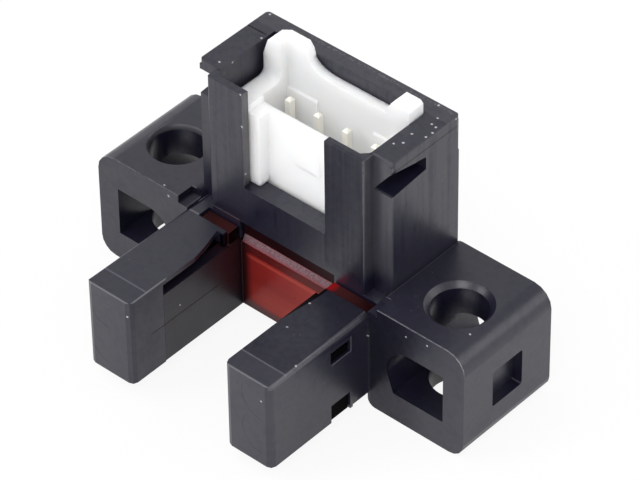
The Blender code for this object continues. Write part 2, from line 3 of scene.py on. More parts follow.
import bmesh
import bpy
from mathutils import Matrix, Vector


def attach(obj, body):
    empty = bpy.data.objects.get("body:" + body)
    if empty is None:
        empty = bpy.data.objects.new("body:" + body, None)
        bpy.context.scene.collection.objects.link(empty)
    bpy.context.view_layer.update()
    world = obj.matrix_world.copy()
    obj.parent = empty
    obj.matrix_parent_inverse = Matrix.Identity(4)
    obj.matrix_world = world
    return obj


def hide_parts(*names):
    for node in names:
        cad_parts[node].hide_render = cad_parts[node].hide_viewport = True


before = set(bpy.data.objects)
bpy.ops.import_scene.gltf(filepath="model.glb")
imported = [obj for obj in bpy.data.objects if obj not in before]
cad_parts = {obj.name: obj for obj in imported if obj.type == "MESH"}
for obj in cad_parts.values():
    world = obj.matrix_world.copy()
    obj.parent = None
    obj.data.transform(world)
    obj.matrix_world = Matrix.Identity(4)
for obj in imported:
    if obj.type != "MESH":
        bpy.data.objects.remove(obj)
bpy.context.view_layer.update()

# Camera
# A long lens looks down on the switch from its right front. The slot opens towards the left of the
# picture and the plug header stands at the back.
MM = 0.001
eye = Vector((118.37, -127.33, 158.33)) * MM
turn = math.radians(42.07)
rise = math.radians(40.85)
tilt = math.radians(-0.86)
picture_pixels = 640
focal_pixels = 4375
level = Vector((math.cos(turn), math.sin(turn), 0.0))
ahead = Vector((-math.sin(turn) * math.cos(rise), math.cos(turn) * math.cos(rise), -math.sin(rise)))
over = level.cross(ahead)
across = level * math.cos(tilt) + over * math.sin(tilt)
upward = over * math.cos(tilt) - level * math.sin(tilt)
lens = bpy.data.cameras.new("camera")
lens.sensor_width = 36.0
lens.lens = focal_pixels / picture_pixels * lens.sensor_width
lens.clip_start = 0.01
lens.clip_end = 10.0
camera = bpy.data.objects.new("camera", lens)
camera.matrix_world = Matrix.Translation(eye) @ Matrix((across, upward, -ahead)).transposed().to_4x4()
bpy.context.scene.collection.objects.link(camera)
bpy.context.scene.camera = camera
bpy.context.scene.view_settings.view_transform = "Standard"


# Studio
# The switch stands on a wide white card, in an even pale light from all round. Four soft round lamps
# light it from above, the left front, the right front and the right rear. The card shows white and
# keeps a faint shadow.
class Reading:
    """A number or colour that varies in a shader. Sums with it add the nodes that work them out."""

    def __init__(self, tree, socket):
        self.tree = tree
        self.socket = socket

    def sum(self, operation, first, second=0.0):
        return add(self.tree, "ShaderNodeMath", {"operation": operation}, {0: first, 1: second})

    def __add__(self, other):
        return self.sum("ADD", self, other)

    def __radd__(self, other):
        return self.sum("ADD", other, self)

    def __sub__(self, other):
        return self.sum("SUBTRACT", self, other)

    def __rsub__(self, other):
        return self.sum("SUBTRACT", other, self)

    def __mul__(self, other):
        return self.sum("MULTIPLY", self, other)

    def __rmul__(self, other):
        return self.sum("MULTIPLY", other, self)

    def __lt__(self, other):
        return self.sum("LESS_THAN", self, other)

    def __abs__(self):
        return self.sum("ABSOLUTE", self)

    def most(self, other):
        return self.sum("MAXIMUM", self, other)

    def least(self, other):
        return self.sum("MINIMUM", self, other)

    def other(self, name):
        """Another output of the same node."""
        return Reading(self.tree, self.socket.node.outputs[name])


def plug(tree, socket, value):
    """A reading is linked to the socket, and anything else is set on it."""
    if isinstance(value, Reading):
        tree.links.new(value.socket, socket)
    elif socket.type == "RGBA":
        socket.default_value = (*value, 1.0)
    else:
        socket.default_value = value


def add(tree, kind, settings=None, inputs=None, output=0):
    """One node: its settings are set first, then the values or links of its inputs."""
    node = tree.nodes.new(kind)
    for name, value in (settings or {}).items():
        if name == "stops":
            steps = node.color_ramp.elements
            while len(steps) < len(value):
                steps.new(0.5)
            for step, (position, brightness) in zip(steps, value):
                step.position = position
                step.color = (brightness, brightness, brightness, 1.0)
        else:
            setattr(node, name, value)
    for name, value in (inputs or {}).items():
        plug(tree, node.inputs[name], value)
    return Reading(tree, node.outputs[output]) if node.outputs else None


card_white = (0.90, 0.90, 0.90)
full_white = (1.0, 1.0, 1.0)
card_size = 3.0
card_shadow_share = 0.10
card_mirror_share = 0.45
card_gap = 0.02
card = bpy.data.materials.new("card")
card.use_nodes = True
sheet = card.node_tree
sheet.nodes.clear()
path = add(sheet, "ShaderNodeLightPath")
seen = path.other("Is Camera Ray") * (1 - card_shadow_share)
mirrored = path.other("Is Glossy Ray").most(path.other("Is Transmission Ray")) * (1 - card_mirror_share)
paper = add(sheet, "ShaderNodeBsdfDiffuse", None, {"Color": card_white})
glow = add(sheet, "ShaderNodeEmission", None, {"Color": full_white, "Strength": 1.0})
both = add(sheet, "ShaderNodeMixShader", None, {0: seen.most(mirrored), 1: paper, 2: glow})
add(sheet, "ShaderNodeOutputMaterial", None, {"Surface": both})

shape = bmesh.new()
bmesh.ops.create_grid(shape, x_segments=1, y_segments=1, size=card_size)
floor_mesh = bpy.data.meshes.new("floor")
shape.to_mesh(floor_mesh)
shape.free()
floor = bpy.data.objects.new("floor", floor_mesh)
floor.data.materials.append(card)
floor.location.z = -card_gap * MM
bpy.context.scene.collection.objects.link(floor)

horizon_light = 1.0
horizon_top = 0.25
overhead_light = 0.62
overhead_start = 0.85
light_stops = (
    (0.0, horizon_light),
    (horizon_top, horizon_light),
    (overhead_start, overhead_light),
    (1.0, overhead_light),
)
world = bpy.data.worlds.new("studio")
bpy.context.scene.world = world
world.use_nodes = True
sky = world.node_tree
sky.nodes.clear()
direction = add(sky, "ShaderNodeTexCoord", output="Generated")
height = add(sky, "ShaderNodeSeparateXYZ", None, {0: direction}, "Z")
shade = add(sky, "ShaderNodeValToRGB", {"stops": light_stops}, {0: height})
behind = add(sky, "ShaderNodeLightPath").other("Is Camera Ray")
tone = add(sky, "ShaderNodeMix", {"data_type": "RGBA"}, {0: behind, 6: shade, 7: full_white}, 2)
air = add(sky, "ShaderNodeBackground", None, {"Color": tone, "Strength": 1.0})
add(sky, "ShaderNodeOutputWorld", None, {"Surface": air})

lamps = (
    ("softbox", (-0.25, -0.10, 0.55), 0.35, 0.72),
    ("left_lamp", (-0.33, -0.42, 0.365), 0.26, 0.75),
    ("front_lamp", (0.21, -0.36, 0.46), 0.30, 1.02),
    ("back_lamp", (0.42, 0.365, 0.325), 0.42, 0.55),
)
for lamp_name, lamp_place, lamp_size, lamp_watts in lamps:
    lamp = bpy.data.lights.new(lamp_name, "AREA")
    lamp.shape = "DISK"
    lamp.size = lamp_size
    lamp.energy = lamp_watts
    stand = bpy.data.objects.new(lamp_name, lamp)
    aim = Vector(lamp_place).to_track_quat("Z", "Y").to_matrix().to_4x4()
    stand.matrix_world = Matrix.Translation(lamp_place) @ aim
    bpy.context.scene.collection.objects.link(stand)


# Outer case
# One moulding in black glass-filled nylon: two screw wings, the fork and the tower that holds the
# plug header. It has a fine matt grain, faint draw lines down the tower and dust in the grain.
joined = 0.002
flat_angle = 0.6
edge_angle = 30.0
round_steps = 4
case_edge = 0.08
arm_round = 0.24
edge_round = 0.07
long_edge = 1.2
sharp_turn = 1.0
fine_facet = 0.25
split_spare = 0.05
match = 0.04
arm_tip = -7.4
arm_side = 6.5
arm_top = 6.5
arm_root = 0.4
slot_half = 3.35
wing_face = 0.3
wing_top = 7.0
wing_end = 13.0
tower_face = 1.17
tower_foot = 7.2
rim_top = 15.6
groove_roof = Vector((5.47, 1.97, 14.95))
groove_roof_low = 13.42
left_way = Vector((-10.0, 3.5, 7.0))
flare_radius = 1.9
small_flare = 1.74


def refined(node, name, finishes, width, steps=2, edge_slot=-1, moved=None, rounded=None):
    """A finer copy of a frame part: flat faces made whole and its edges broken by a small round."""
    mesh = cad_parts[node].data.copy()
    mesh.name = name
    mesh.materials.clear()
    for finish in finishes:
        mesh.materials.append(finish)
    shape = bmesh.new()
    shape.from_mesh(mesh)
    bmesh.ops.remove_doubles(shape, verts=shape.verts, dist=joined * MM)
    bmesh.ops.dissolve_limit(
        shape,
        angle_limit=math.radians(flat_angle),
        verts=shape.verts,
        edges=shape.edges,
        use_dissolve_boundaries=False,
    )
    if moved:
        for vertex in shape.verts:
            vertex.co = moved(vertex.co / MM) * MM
    for chosen, offset in rounded(shape) if rounded else ():
        bmesh.ops.bevel(
            shape,
            geom=chosen,
            offset=offset * MM,
            segments=round_steps,
            profile=0.5,
            affect="EDGES",
            clamp_overlap=True,
            material=edge_slot,
        )
    shape.to_mesh(mesh)
    shape.free()
    made = bpy.data.objects.new(name, mesh)
    bpy.context.scene.collection.objects.link(made)
    edge = made.modifiers.new("broken_edges", "BEVEL")
    edge.width = width * MM
    edge.segments = steps
    edge.limit_method = "ANGLE"
    edge.angle_limit = math.radians(edge_angle)
    edge.miter_outer = "MITER_ARC"
    edge.material = edge_slot
    for face in mesh.polygons:
        face.use_smooth = True
    made.modifiers.new("flat_faces", "WEIGHTED_NORMAL").keep_sharp = True
    settled = bpy.data.meshes.new_from_object(made.evaluated_get(bpy.context.evaluated_depsgraph_get()))
    made.modifiers.clear()
    made.data = settled
    corners = [vertex.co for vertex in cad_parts[node].data.vertices]
    low = [min(corner[axis] for corner in corners) for axis in range(3)]
    high = [max(corner[axis] for corner in corners) for axis in range(3)]
    for vertex in settled.vertices:
        vertex.co = [min(max(value, least), most) for value, least, most in zip(vertex.co, low, high)]
    return made


def case_detail(point):
    """Brings the right key groove's roof down at the front, and makes the left way's flare smaller."""
    if (point - groove_roof).length < match:
        return Vector((point.x, point.y, groove_roof_low))
    way = Vector((point.x - left_way.x, point.y - left_way.y))
    if abs(point.z - left_way.z) < match and abs(way.length - flare_radius) < match:
        way *= small_flare / flare_radius
        return Vector((left_way.x + way.x, left_way.y + way.y, point.z))
    return point


def on_arm(point):
    """True on the outer top edges of the two arms."""
    return abs(point.z - arm_top) < match and abs(abs(point.x) - arm_side) < match and point.y < arm_root


def case_edges(shape):
    """The arms' outer top edges, then all long outer edges cut short of ends where fine facets meet."""
    yield [line for line in shape.edges if all(on_arm(corner.co / MM) for corner in line.verts)], arm_round
    chosen = []
    for line in list(shape.edges):
        if not line.is_convex or line.calc_face_angle(0.0) < sharp_turn:
            continue
        if line.calc_length() < long_edge * MM:
            continue
        for corner in tuple(line.verts):
            if min(other.calc_length() for other in corner.link_edges) < fine_facet * MM:
                bmesh.utils.edge_split(line, corner, (fine_facet + split_spare) * MM / line.calc_length())
        chosen.append(line)
    yield chosen, edge_round


def begin(name):
    """A new finish, and where a point of the piece is, in millimetres."""
    finish = bpy.data.materials.new(name)
    finish.use_nodes = True
    place = add(finish.node_tree, "ShaderNodeTexCoord", output="Object")
    settings = {"operation": "SCALE"}
    return finish, add(finish.node_tree, "ShaderNodeVectorMath", settings, {0: place, "Scale": 1 / MM})


def end(finish, settings):
    """Sets the finish's shader: values on its sockets, readings as links."""
    shader = finish.node_tree.nodes["Principled BSDF"]
    for name, value in settings.items():
        plug(finish.node_tree, shader.inputs[name], value)


def axes(place):
    """The three distances of a place: X runs east, Y north and Z up."""
    east = add(place.tree, "ShaderNodeSeparateXYZ", None, {0: place}, "X")
    return east, east.other("Y"), east.other("Z")


def stretched(place, shares):
    """A place with each of its distances multiplied by a share of its own."""
    return add(place.tree, "ShaderNodeVectorMath", {"operation": "MULTIPLY"}, {0: place, 1: shares})


def distance(place, point):
    """How far a place is from a point."""
    return add(place.tree, "ShaderNodeVectorMath", {"operation": "DISTANCE"}, {0: place, 1: point}, "Value")


def noise(place, scale, detail=3.0, stretch=None):
    """Soft random patches, stretched along an axis where one is given."""
    if stretch:
        place = stretched(place, stretch)
    return add(place.tree, "ShaderNodeTexNoise", None, {"Vector": place, "Scale": scale, "Detail": detail})


def fade(value, low, high):
    """Goes smoothly from 0 at the first distance to 1 at the second."""
    settings = {"interpolation_type": "SMOOTHSTEP"}
    inputs = {"Value": value, "From Min": low, "From Max": high}
    if low > high:
        inputs = {"Value": value, "From Min": high, "From Max": low, "To Min": 1.0, "To Max": 0.0}
    return add(value.tree, "ShaderNodeMapRange", settings, inputs)


def near(value, centre, half):
    """1 within a thin band, otherwise 0."""
    return add(value.tree, "ShaderNodeMath", {"operation": "COMPARE"}, {0: value, 1: centre, 2: half})


def between(value, low, high):
    """1 from the first distance to the second, otherwise 0."""
    return near(value, (low + high) / 2, (high - low) / 2)


def mix(share, first, second):
    """One colour turning into another."""
    return add(share.tree, "ShaderNodeMix", {"data_type": "RGBA"}, {0: share, 6: first, 7: second}, 2)


def bump(height, strength, depth=0.03):
    """Small relief: how strongly it shows, and how deep it is in millimetres."""
    inputs = {"Strength": strength, "Distance": depth * MM, "Height": height}
    return add(height.tree, "ShaderNodeBump", None, inputs)


def specks(place, spots, radius):
    """1 on small ragged specks of dust round the given places."""
    tree = place.tree
    ragged = noise(place, 9.0, 2.0).other("Color")
    wide = add(tree, "ShaderNodeVectorMath", {"operation": "SCALE"}, {0: ragged, "Scale": 1.6 * radius})
    back = add(tree, "ShaderNodeVectorMath", {"operation": "ADD"}, {0: place, 1: wide})
    shift = (0.8 * radius, 0.8 * radius, 0.8 * radius)
    moved = add(tree, "ShaderNodeVectorMath", {"operation": "SUBTRACT"}, {0: back, 1: shift})
    nearest = None
    for spot in spots:
        away = distance(moved, spot)
        nearest = away if nearest is None else nearest.least(away)
    return fade(nearest, radius, 0.6 * radius)


nylon_dark = (0.0035, 0.0033, 0.0130)
nylon_light = (0.0120, 0.0116, 0.0270)
nylon_dust = (0.48, 0.48, 0.50)
nylon_roughness = 0.27
mark_dark = (0.012, 0.012, 0.016)
painted_step_light = (0.044, 0.043, 0.055)
inner_edge_shade = (0.006, 0.004, 0.006)
painted_groove_light = (0.050, 0.049, 0.060)
painted_jamb_highlight = (0.085, 0.085, 0.090)
painted_line_highlight = (0.055, 0.054, 0.068)
mould_line_grey = (0.10, 0.10, 0.13)
painted_edge_highlight = (0.23, 0.23, 0.25)
rim_shade = (0.008, 0.008, 0.010)
painted_inside_light = (0.075, 0.075, 0.082)
painted_flare_highlight = (0.17, 0.17, 0.18)
rear_bar_grey = (0.040, 0.039, 0.050)
painted_narrow_side_light = (0.036, 0.035, 0.044)
scuff_pale = (0.19, 0.19, 0.20)
painted_edge_light = (0.070, 0.070, 0.082)
edge_light_share = 0.15
mould_line = -6.07
ring_places = ((-4.95, 5.3), (-4.95, 2.75), (5.85, 5.3), (5.85, 2.9))
ring_radius = 1.32
rim_joint_place = 5.74
seam_height = 3.42
flare_edge = 1.675
dust_radius = 0.08
dust_places = (
    (-3.60, -7.35, 5.52),
    (5.87, arm_tip, 5.28),
    (3.99, -3.27, arm_top),
    (9.06, wing_face, 6.35),
    (10.49, wing_face, 6.57),
    (11.88, 2.09, wing_top),
    (wing_end, 2.28, 6.35),
    (-6.38, -0.91, arm_top),
    (-6.45, -2.3, 6.47),
    (-8.21, 0.51, wing_top),
    (-7.74, wing_face, 6.63),
    (-2.92, 1.27, 10.18),
    (-2.99, tower_face, 13.42),
    (6.34, -5.2, arm_top),
    (3.66, -1.11, arm_top),
    (5.83, 4.51, rim_top),
    (5.96, 3.69, rim_top),
    (5.64, 3.31, rim_top),
    (6.01, 6.34, rim_top),
    (6.11, 5.78, rim_top),
    (6.43, 5.71, rim_top),
    (6.54, 4.79, rim_top),
    (6.59, 5.26, rim_top),
    (5.37, 7.18, rim_top),
    (-6.37, 7.18, rim_top),
    (-5.08, 5.87, rim_top),
    (-5.34, 5.37, rim_top),
    (-5.66, 2.44, rim_top),
    (6.49, 1.77, rim_top),
    (6.65, 6.99, 15.49),
    (-3.03, tower_face, 15.54),
    (-5.22, 2.97, 15.48),
    (6.47, 0.27, 4.9),
)
black, place = begin("black_nylon")
east, north, up = axes(place)
beside = abs(east)
cloud = noise(place, 0.9, 4.0)
grain = noise(place, 6.0, 3.0)
streaks = noise(place, 1.0, 3.0, (3.4, 3.4, 0.10))
on_tower = fade(up, tower_foot, tower_foot + 0.6)
streak = (streaks - 0.5) * on_tower
mottle = noise(place, 2.6, 2.0)
light_share = (cloud * 0.5 + grain * 0.3 + streak * 1.2 + 0.1).most(0.0).least(1.0)
tone = mix(light_share, nylon_dark, nylon_light)

# Marks of the mould: a thin line over the arms, rings of the ejector pins on their tips, a joint
# across the left of the rim and a seam along the left arm's inner side.
over_arms = near(north, mould_line, 0.05) * fade(up, arm_top - 0.1, arm_top - 0.05)
ring = None
for ring_east, ring_up in ring_places:
    line = near(distance(place, (ring_east, arm_tip, ring_up)), ring_radius, 0.045)
    line = line * fade(east, ring_east + 0.5, ring_east - 0.2) * fade(up, ring_up + 0.9, ring_up + 0.1)
    ring = line if ring is None else ring.most(line)
ring = ring * fade(north, arm_tip + 0.2, arm_tip + 0.05)
rim_joint = near(north, rim_joint_place, 0.05) * fade(up, 15.0, 15.3) * fade(east, -5.2, -5.5)
seam = near(up, seam_height, 0.035) * fade(east, -3.45, -3.36) * fade(east, -3.2, -3.3)
seam = seam * fade(north, -5.95, -5.75) * fade(north, -0.5, -0.9)
dark_marks = (ring * 0.25 + rim_joint * 0.8 + seam * 0.8).least(1.0)
tone = mix(dark_marks, tone, mark_dark)

# Painted shade: faces beside taller ones get less shine, so they look darker: the pier, the arms' tops
# and the notch. Painted light: the tower's step, the groove's end and a few corners are painted paler.
on_step = fade(east, 5.3, 5.4) * fade(north, 2.15, 2.05) * fade(up, 7.1, 8.5)
tone = mix(on_step * 0.9, tone, painted_step_light)
pier = between(east, 2.7, 5.35) * fade(north, 1.4, 1.3) * fade(up, 6.8, 7.6)
arm_back = between(east, 3.2, 6.6) * between(north, -6.02, 0.32) * fade(up, 6.3, 6.42)
by_arm = between(east, 6.5, 10.5) * fade(north, 0.4, 0.35) * fade(east, 10.5, 8.2)
left_front = fade(east, -6.5, -7.0) * fade(north, 0.4, 0.35)
behind_arm = between(east, -3.75, -3.3) * between(north, -0.45, 0.6) * between(up, 5.2, 6.4)
inner_tip = near(east, -slot_half, 0.1) * fade(north, -4.5, -4.6)
groove_face = near(north, groove_roof.y, 0.06) * between(east, 5.43, 6.7) * between(up, 13.4, 15.3)
notch = between(east, -7.85, -6.5) * between(north, 0.32, 1.6) * between(up, 6.3, 6.97)
dull_and_painted_shade = pier * 0.28 + arm_back * 0.33 + by_arm * 0.42 + left_front * 0.15 + inner_tip * 0.14 + notch * 0.5
dull_and_painted_shade = dull_and_painted_shade + (cloud - 0.4) * 0.3 + (mottle - 0.5) * 0.35 + streak * 0.9
# Painted shade: a dark strip along the right arm's inner top edge, which also gets less shine.
inner_edge = east < fade(north, -3.6, 0.2) * 0.34 + slot_half
inner_edge = inner_edge * between(east, 3.2, 3.8) * between(north, -3.6, 0.34) * fade(up, 6.3, 6.4)
tone = mix(inner_edge, tone, inner_edge_shade)
dull_and_painted_shade = (dull_and_painted_shade + behind_arm * 0.9 + dark_marks + inner_edge * 0.9).most(0.0).least(0.95)
# Painted light: the groove's end face is painted paler.
tone = mix(groove_face * 0.8, tone, painted_groove_light)
# Painted highlights: a pale line down the left jamb, and pale lines at the tower's foot, at a joint by the
# right wing and where the right arm meets the wing's front.
jamb = near(east, -2.92, 0.04) * fade(up, 9.3, 9.6) * fade(north, 1.8, 1.7)
tone = mix(jamb * 0.7, tone, painted_jamb_highlight)
foot_line = near(up, 6.80, 0.05) * near(north, tower_face, 0.03) * fade(east, -3.3, -3.5)
joint_line = near(east, 6.72, 0.05) * fade(up, 6.9, 6.95) * fade(up, 7.2, 7.1)
arm_line = near(east, 6.53, 0.04) * near(north, wing_face, 0.05) * fade(up, 5.6, 5.2)
tone = mix((joint_line * 0.8).most(arm_line * 0.7).most(foot_line) * 0.8, tone, painted_line_highlight)
tone = mix(over_arms * 0.55, tone, mould_line_grey)

# Painted highlights: the upper edges of the arms and the wings, and a few other edges, are painted pale,
# unevenly along their length.
broken = fade(noise(place, 4.5, 2.0), 0.30, 0.55)
tip_edge = near(north, -7.365, 0.036) * fade(up, 6.42, 6.46)
inner_highlight = near(east, -3.385, 0.036) * fade(up, 6.42, 6.46) * fade(north, -4.5, -4.7)
outer_highlight = near(east, -6.45, 0.05) * fade(up, 6.38, 6.44) * fade(north, 0.5, -1.5)
arm_highlight = between(east, 6.32, 6.50) * fade(up, 6.2, 6.3) * fade(north, 0.4, -0.4)
wing_highlight = between(north, 0.304, 0.384) * fade(up, 5.7, 6.3) * fade(beside, 6.98, 7.0)
pier_highlight = near(north, 1.21, 0.04) * near(east, 5.38, 0.05) * fade(up, 11.5, 12.5)
rear_highlight = between(north, 0.30, 0.42) * between(up, 6.46, 6.54) * between(beside, 3.5, 6.4)
lip_low = near(up, 4.84, 0.05) * between(north, -2.65, -1.1)
lip_side = near(north, -1.10, 0.05) * between(up, 4.8, 5.85)
window_lip = lip_low.most(lip_side) * fade(beside, 6.46, 6.48)
corner_highlight = near(north, 1.42, 0.05) * near(up, wing_top, 0.03) * between(beside, 6.4, 7.05)
edge_highlights = (tip_edge * 0.42).most(inner_highlight * 0.45).most(outer_highlight * 0.35 * broken)
edge_highlights = edge_highlights.most(arm_highlight * (broken * 0.06 + 0.14))
edge_highlights = edge_highlights.most(rear_highlight * 0.35).most(window_lip * 0.25).most(corner_highlight * 0.5)
edge_highlights = edge_highlights.most(wing_highlight * fade(east, -7.0, 7.0) * (broken * 0.25 + 0.32))
edge_highlights = edge_highlights.most(wing_highlight * broken * 0.25).most(pier_highlight * broken * 0.12)
tone = mix(edge_highlights, tone, painted_edge_highlight)

# The rim stands out a little over the tower's sides, with a painted shade line under it.
under_rim = near(up, 14.97, 0.05) * fade(beside, 6.6, 6.65) * fade(north, 1.3, 1.5)
tone = mix(under_rim * 0.7, tone, rim_shade)
dull_and_painted_shade = (dull_and_painted_shade + under_rim * 0.5 - edge_highlights).most(0.0)

# Painted light: the inside of the arms is painted a paler grey, and the flare of the left screw way is
# painted pale as a highlight.
inside_arm = between(beside, 3.5, 6.2) * between(north, -6.7, -0.6) * between(up, 4.4, 6.25)
tone = mix(inside_arm * 0.8, tone, painted_inside_light)
from_way = distance(stretched(place, (1.0, 1.0, 0.0)), (left_way.x, left_way.y, 0.0))
flare = near(from_way, flare_edge, 0.07) * between(up, 6.7, 6.995)
tone = mix(flare * (fade(east, -9.8, -9.0) * 0.5 + 0.3), tone, painted_flare_highlight)
dull_and_painted_shade = (dull_and_painted_shade - flare * 0.5).most(0.0)

# The rim's rear bar is a little greyer, and the pier's narrow side is painted a little paler as painted
# light. The bar is scuffed along its middle.
on_rim = fade(up, 15.5, 15.55)
rear_bar = fade(north, 6.25, 6.4) * on_rim
tone = mix(rear_bar * 0.5, tone, rear_bar_grey)
narrow_side = near(east, 5.42, 0.03) * between(north, 1.2, 1.96) * fade(up, 7.4, 8.6)
tone = mix(narrow_side * 0.5, tone, painted_narrow_side_light)
scuff = near(north, 7.13, 0.08) * on_rim * between(east, -3.4, 6.4)
scuff = scuff * fade(noise(place, 7.0, 3.0), 0.48, 0.62)
tone = mix(scuff * 0.3, tone, scuff_pale)

# Dust: a few white specks, and many fine faint ones.
speck = specks(place, dust_places, dust_radius)
fine = add(place.tree, "ShaderNodeTexVoronoi", None, {"Vector": place, "Scale": 1.7}, "Distance")
rare = noise(place, 0.8, 1.0)
fine = fade(fine, 0.075, 0.03) * fade(rare, 0.5, 0.6)
tone = mix(fine * 0.14, tone, nylon_dust)
tone = mix(speck * 0.85, tone, nylon_dust)
end(
    black,
    {
        "Base Color": tone,
        "Roughness": cloud * 0.10 + grain * 0.06 + streak * 0.25 + speck * 0.3 + nylon_roughness,
        "Metallic": dull_and_painted_shade,
        "Specular IOR Level": 0.72,
        "Normal": bump(grain * 0.7 + streak * 0.5 - dark_marks * 1.5, 0.22),
    },
)

# The broken edges get a painted highlight: they are painted a little paler and made shinier, so they
# catch a thin light line.
edge_highlight_finish = black.copy()
edge_highlight_finish.name = "edge_highlight_nylon"
edge_shader = edge_highlight_finish.node_tree.nodes["Principled BSDF"]
below = Reading(edge_highlight_finish.node_tree, edge_shader.inputs["Base Color"].links[0].from_socket)
shares = {0: edge_light_share, 6: below, 7: painted_edge_light}
paler = add(edge_highlight_finish.node_tree, "ShaderNodeMix", {"data_type": "RGBA"}, shares, 2)
end(edge_highlight_finish, {"Base Color": paler, "Specular IOR Level": 0.8})

case = refined(
    "outer_case",
    "case_moulding",
    (black, edge_highlight_finish),
    case_edge,
    edge_slot=1,
    moved=case_detail,
    rounded=case_edges,
)
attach(case, "root")
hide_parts("outer_case")


# Red insert
# One clear red moulding pressed up from below. Its wall shuts the root of the slot and has a painted
# glow, as if light came through it. Its legs look nearly black and two bars show behind the arms' tops.
wall_red = (0.29, 0.020, 0.017)
wall_deep_and_shade = (0.036, 0.004, 0.005)
wall_painted_light = (0.48, 0.068, 0.048)
foot_pink = (0.105, 0.050, 0.054)
upper_red_shade = (0.022, 0.004, 0.006)
frost_pink = (0.25, 0.160, 0.180)
frost_dark = (0.15, 0.080, 0.092)
frost_low = (0.22, 0.055, 0.070)
bar_red = (0.028, 0.005, 0.006)
bar_lit = (0.070, 0.014, 0.015)
bar_gap_shade = (0.004, 0.002, 0.003)
glow_red = (0.42, 0.008, 0.010)
leg_black = (0.009, 0.0075, 0.015)
leg_tinge = (0.028, 0.007, 0.011)
leg_seam_and_shade = (0.006, 0.003, 0.004)
insert_edge = 0.03
ledge_low = 5.3
ledge_high = 5.76
wall_face = 1.25
leg_top = 5.52
bar_face = 3.4
bar_front = 1.2
glow_place = (3.42, 0.80, 6.35)
glow_reach = 0.62
glow_core = 0.15
leg_end = -4.8
leg_reach = -4.86
leg_margin = 0.05
face_margin = 0.02
leg_dust = ((-3.35, -3.64, 4.01),)
red, place = begin("clear_red")
east, north, up = axes(place)
beside = abs(east)
cloud = noise(place, 0.8, 3.0)
grain = noise(place, 7.0, 3.0)
drawn = noise(place, 1.0, 3.0, (0.15, 2.0, 4.0))
# Painted shade darkens the wall towards its left end and its foot. Painted light brightens it low down and
# to the right, with a painted highlight line at 4.5 mm up and a painted shade band above it, under the
# ledge.
across_wall = fade(east, -3.15, -2.45) * fade(up, 0.9, 1.7)
tone = mix(across_wall, wall_deep_and_shade, wall_red)
lit_low = fade(up, 3.4, 1.9) * fade(east, -3.3, -1.5) + fade(east, -0.5, 2.5) * 0.8
tone = mix(lit_low.least(1.0) * 0.6 * across_wall, tone, wall_painted_light)
tone = mix(near(up, 4.52, 0.10) * across_wall * 0.75, tone, wall_painted_light)
tone = mix(between(up, 4.75, ledge_low) * 0.85, tone, wall_deep_and_shade)
tone = mix(drawn * 0.5 * across_wall, tone, mix(cloud, wall_deep_and_shade, wall_red))
foot_haze = fade(up, 1.55, 1.15) * fade(up, 0.5, 0.8) * fade(east, -3.3, -2.6)
tone = mix(foot_haze * 0.75, tone, foot_pink)
# Painted shade: the face above the ledge is painted a dark, dull red.
above = fade(up, ledge_high, ledge_high + 0.04)
tone = mix(above, tone, upper_red_shade)

# The ledge over the wall is frosted. The bars get painted light further out, a painted glow where the
# indicator stands behind them, and painted shade in a strip at the left edge of the slot.
frost = between(up, ledge_low + 0.01, ledge_high) * fade(north, 1.6, 1.5)
crumbs = fade(noise(place, 14.0, 2.0), 0.38, 0.62)
frost_tone = mix(crumbs, frost_dark, frost_pink)
frost_tone = mix(fade(up, 5.55, 5.35) * 0.7, frost_tone, frost_low)
tone = mix(frost, tone, frost_tone)
upper_line = between(up, 6.42, 6.58) * fade(north, 1.5, 1.47)
tone = mix(upper_line * 0.5, tone, wall_deep_and_shade)
bar = fade(beside, slot_half, slot_half + 0.04) * fade(up, 5.5, 5.6)
lit_right = fade(east, 6.0, 4.0) * fade(east, 3.0, 3.5)
lit_left = fade(east, -5.5, -4.0) * fade(east, -3.0, -3.5)
bar_tone = mix(lit_right + lit_left * 0.6, bar_red, bar_lit)
bar_tone = mix(fade(distance(place, glow_place), glow_reach, glow_core), bar_tone, glow_red)
bar_tone = mix(between(east, -3.43, -3.3), bar_tone, bar_gap_shade)
tone = mix(bar, tone, bar_tone)
end(
    red,
    {
        "Base Color": tone,
        "Roughness": frost * 0.3 + cloud * 0.1 + 0.24,
        "Metallic": (above * 0.5).most(fade(east, -3.0, -3.28) * 0.5),
        "Specular IOR Level": 0.14,
        "Normal": bump(grain * frost + drawn * 0.3, 0.2),
    },
)

# The legs lie against the black arms, so they look black with a red tinge at the root.
lining, place = begin("clear_red_on_black")
_, north, up = axes(place)
cloud = noise(place, 0.9, 4.0)
grain = noise(place, 6.0, 3.0)
root_tinge = fade(north, -1.6, 1.0) * fade(up, 1.2, 3.6)
tone = mix(root_tinge * 0.9, leg_black, leg_tinge)
# A dark seam runs along the legs. Painted shade darkens the legs' tops, the corner by the wall and the
# root, partly as less shine.
seam = near(up, seam_height, 0.045) * fade(north, -0.4, -0.8)
root_shade = fade(north, -1.2, 1.1) * 0.25
shut_shade = fade(up, 5.55, 5.6) * 0.8
corner = fade(north, 0.9, 1.22) * 0.3
dull_and_painted_shade = ((cloud - 0.4) * 0.3 + seam * 0.7 + root_shade + shut_shade + corner).most(0.0).least(0.97)
tone = mix((seam + shut_shade + corner * 0.9).least(1.0), tone, leg_seam_and_shade)
tone = mix(specks(place, leg_dust, dust_radius) * 0.7, tone, nylon_dust)
end(
    lining,
    {
        "Base Color": tone,
        "Roughness": cloud * 0.1 + 0.30,
        "Metallic": dull_and_painted_shade,
        "Specular IOR Level": 0.46,
        "Normal": bump(grain, 0.22),
    },
)

